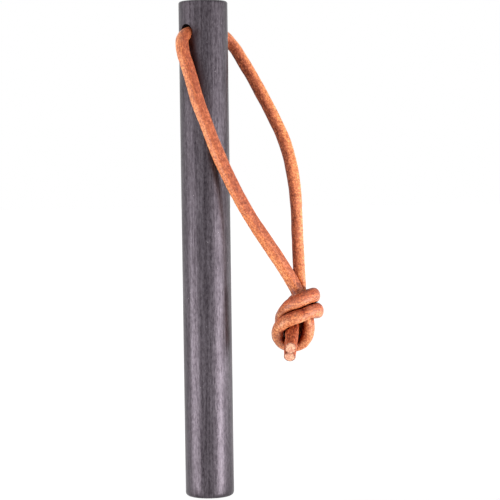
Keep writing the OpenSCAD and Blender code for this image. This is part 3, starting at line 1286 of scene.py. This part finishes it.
    def pressed(self, skin: Skin, others: Array, own: bool) -> tuple[Skin, Array]:
        """Flattens the lace where it presses on another stretch, at the plane midway between them.

        A point p of the ring round c, with q the nearest place on the other stretch, is moved back along
        n = unit(q - c) by what (p - (c+q)/2) . n exceeds minus half the gap.

        Args:
            skin: The rings and their centres.
            others: Centreline of the other stretch.
            own: Whether it is the same lace, where near neighbours don't count.

        Returns:
            The changed skin, and how closely each point lies to the other stretch, 0 to 1, raised by a
            painted deep shade near the knot's middle.
        """
        line = skin.line
        far = np.linalg.norm(line[:, None, :] - others[None, :, :], axis=-1)
        if own:
            steps = np.abs(np.arange(len(line))[:, None] - np.arange(len(others))[None, :])
            far = np.where(steps * self.ring_step < self.own_neighbours, np.inf, far)
        rings, touch = skin.rings.copy(), np.zeros(skin.rings.shape[:2])
        for i in np.where(far.min(1) < self.press_reach)[0]:
            q = others[far[i] < self.press_window]
            p = skin.rings[i]
            q = q[np.linalg.norm(p[:, None, :] - q[None, :, :], axis=-1).argmin(1)]
            n = unit(q - line[i])
            over = ((p - (line[i] + q) / 2.0) * n).sum(-1) + self.press_gap / 2.0
            rings[i] = p - np.maximum(over, 0.0)[:, None] * n
            # Painted deep shade, darker towards the knot's middle.
            inside = np.linalg.norm(p - np.array(self.knot_middle), axis=-1)
            deep = sum(share * fade_out(*reach, inside) for share, reach in self.deep_shades)
            shade = deep * smooth_step(*self.shade_gap, over)
            touch[i] = np.maximum(smooth_step(*self.touch_gap, over), shade)
        return replace(skin, rings=rings), touch

    def rings_of(self, run: Span) -> slice:
        """The rings between two runs along the lace: run / ring step."""
        return slice(*(round(mm / self.ring_step) for mm in run))

    def creases(self, half: Half, skin: Skin, touch: Array, other_line: Array) -> Array:
        """How much painted shade each point gets, 0 to 1.

        Args:
            half: Which lace.
            skin: Its pressed rings.
            touch: How closely each point lies to another stretch, with the painted deep shade.
            other_line: The other half's centreline.

        Returns:
            The greatest of the touch in and near the knot, the painted dark of the hole, the painted shade
            by the rod under the hole and, for the rear strand, the painted shadow beside the front one.
        """
        s, rings = skin.run, skin.rings
        start = self.strand(half).shaded_from
        crease_shade = touch * smooth_step(start, start + self.shade_rise, s)[:, None]
        # Painted dark inside the hole.
        crease_shade = np.maximum(crease_shade, fade_out(*self.in_mouth, s)[:, None])
        # Painted shade on the lace by the rod, under the hole.
        from_rod = np.linalg.norm(rings[..., :2], axis=-1) - self.rod_diameter / 2.0
        by_rod = fade_out(*self.rod_shade_gap, from_rod)
        by_rod = by_rod * (rings[..., 2] < self.hole_height + self.rod_shade_over_hole)
        shade = self.rod_shade * by_rod * smooth_step(*self.rod_shade_run, s)[:, None]
        crease_shade = np.maximum(crease_shade, shade)
        # Painted shadow of the front strand on the rear strand.
        if half is Half.REAR:
            run, other_run = self.rings_of(self.beside_run), self.rings_of(self.beside_other)
            apart = rings[run, :, None, :] - other_line[None, None, other_run, :]
            gap = np.linalg.norm(apart, axis=-1).min(-1) - self.diameter / 2.0
            shade = self.beside_shade * fade_out(*self.beside_gap, gap)
            shade = shade * smooth_step(*self.beside_rise, s[run])[:, None]
            crease_shade[run] = np.maximum(crease_shade[run], shade)
        return crease_shade

    def grain(self, half: Half, skin: Skin) -> Array:
        """How much of the bright grain side each point is, 0 to 1; set on the lit side, it is partly
        painted light.

        Args:
            half: Which lace.
            skin: Its rings.

        Returns:
            0.5 + lift + (0.5 - lift) cos(f - bright), where bright goes from the strand's side to 0.
        """
        strand, settled = self.strand(half), fade_out(*self.grain_settles, skin.run)
        drift = math.radians(strand.bright_turn_deg) * fade_out(*self.bright_turns, skin.run)
        bright = ((math.radians(strand.bright_deg) + drift) * settled)[:, None]
        lift = strand.grain_lift * settled[:, None]
        return 0.5 + lift + (0.5 - lift) * np.cos(skin.turn[None, :] - bright)

    def rubbed(self, half: Half, skin: Skin, grain: Array, in_knot: Array) -> Array:
        """How much each point is rubbed dark, 0 to 1.

        Args:
            half: Which lace.
            skin: Its rings.
            grain: How much of the grain side each point is.
            in_knot: How much of the knot each ring is, as a column.

        Returns:
            A part all round and a part on the dark side in the knot, less at the tail, plus the rubs.
        """
        strand, s = self.strand(half), skin.run
        dark = strand.rub_all_round + strand.rub_dark_side * fade_out(*self.dark_side, grain)
        rubbed = in_knot * dark * (1.0 - strand.rub_drop * smooth_step(*self.rub_drops, s))[:, None]
        edge = bump_at(grain, *self.rub_edge) if strand.rubs_edge else 1.0
        for rub in strand.rubs:
            rubbed = rubbed + swell_at(s, rub)[:, None] * edge
        return np.clip(rubbed, 0.0, 1.0)

    def places(self, half: Half, skin: Skin) -> Array:
        """Place of each point on the lace laid straight, for patterns that follow it.

        Args:
            half: Which lace: each has a stretch of the pattern of its own.
            skin: Its rings.

        Returns:
            Rows of run, r cos f and r sin f in metres, then those of the two middle points.
        """
        radius = self.diameter / 2.0
        run, turn = np.meshgrid(skin.run, skin.turn, indexing="ij")
        place = np.stack([run, radius * np.cos(turn), radius * np.sin(turn)], -1).reshape(-1, 3)
        place = np.concatenate([place, [[0.0, 0.0, 0.0], [skin.run[-1], 0.0, 0.0]]])
        return (place + np.array([self.pattern_shift * half.value, 0.0, 0.0])) * MM

    def dress(self, piece: Piece, half: Half, skin: Skin, crease_shade: Array) -> None:
        """Stores what the leather's finish reads on the mesh, and gives it the finish.

        Args:
            piece: The lace's mesh.
            half: Which lace.
            skin: Its pressed rings.
            crease_shade: How much painted shade each point gets.
        """
        in_knot = smooth_step(*self.in_knot, skin.run)[:, None]
        grain = self.grain(half, skin)
        # The strain of a point is how far it lies out of the bend: -(p - c) . dt/ds.
        bend = np.gradient(skin.way, self.ring_step, axis=0)
        strain = -((skin.rings - skin.line[:, None, :]) * bend[:, None, :]).sum(-1)
        # Each is followed by its values at the middle points in the hole and at the cut end.
        for name, values, ends in (
            ("grain_and_lit_side", grain, (0.5, 0.5)),
            ("crease_shade", crease_shade, (1.0, 0.0)),
            ("strain", strain, (0.0, 0.0)),
            ("knot_share", np.broadcast_to(in_knot, crease_shade.shape), (0.0, 1.0)),
            ("rubbed", self.rubbed(half, skin, grain, in_knot), (0.0, 0.0)),
        ):
            store(piece, name, np.append(values, ends))
        store(piece, "lace_place", self.places(half, skin))
        piece.data.materials.append(self.finish.material())

    def half_pieces(self, half: Half, skin: Skin, other_line: Array) -> list[Piece]:
        """Args:
            half: Which lace.
            skin: What skin() gave for this half.
            other_line: The other half's centreline.

        Returns:
            The lace's mesh, closed at both ends, and its cut end.
        """
        skin, touch_other = self.pressed(skin, other_line, False)
        skin, touch_own = self.pressed(skin, skin.line, True)
        crease_shade = self.creases(half, skin, np.maximum(touch_other, touch_own), other_line)
        line = skin.line
        piece = mesh_piece(f"lace_{half.name.lower()}_half", *closed_tube(skin.rings, line[0], line[-1]))
        self.dress(piece, half, skin, crease_shade)
        end = self.cut_end(half, skin.rings[-1], line[-1], skin.way[-1])
        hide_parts(*self.strand(half).nodes)
        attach(piece, "lanyard")
        return [piece, end]

    def cut_end(self, half: Half, ring: Array, centre: Array, way: Array) -> Piece:
        """Pale fibrous face of one cut tail: the last ring drawn in to its middle, in a shallow dome.

        Args:
            half: Which lace.
            ring: The tail's last ring.
            centre: Its middle.
            way: Unit way out of the tail.

        Returns:
            The cut end's mesh, with points at c + (p - c) share + way (height + roughness).
        """
        share, height, rim = np.array(self.cut_rings).T
        rng = np.random.default_rng(self.strand(half).end_seed)
        rough = rng.normal(scale=self.cut_roughness, size=(len(share), len(ring), 1))
        lift = height[:, None, None] + rough * (height > self.rough_above)[:, None, None]
        rings = centre + (ring[None] - centre) * share[:, None, None] + way * lift
        tube = closed_tube(rings, centre + height[0] * way, centre + height[-1] * way)
        piece = mesh_piece(f"cut_end_{half.name.lower()}", *tube)
        store(piece, "rim", np.append(np.repeat(rim, len(ring)), (1.0, 0.0)))
        piece.data.materials.append(self.end_finish.material())
        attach(piece, "lanyard")
        return piece

    def build(self) -> list[Piece]:
        """Makes both halves, each pressed where it lies on the other's centreline.

        Returns:
            The front half and its cut end, then the rear half and its cut end.
        """
        skins = {half: self.skin(half) for half in Half}
        made = []
        for half in Half:
            made += self.half_pieces(half, skins[half], skins[half.other].line)
        return made


def report(piece: Piece) -> None:
    """Logs a piece's name and its number of faces."""
    LOG.info("%s: %d faces", piece.name, len(piece.data.polygons))


def main() -> None:
    """Builds the studio and the object in order."""
    logging.basicConfig(level=logging.INFO, format="%(name)s: %(message)s")
    studio = Studio()
    studio.camera()
    lace = LeatherLace()
    for piece in lace.build():
        report(piece)
    front_line = lace.centreline(Half.FRONT)[0]
    report(FireSteelRod().build(front_line[: len(front_line) // 3]))
    report(studio.light())


if __name__ == "__main__":
    main()
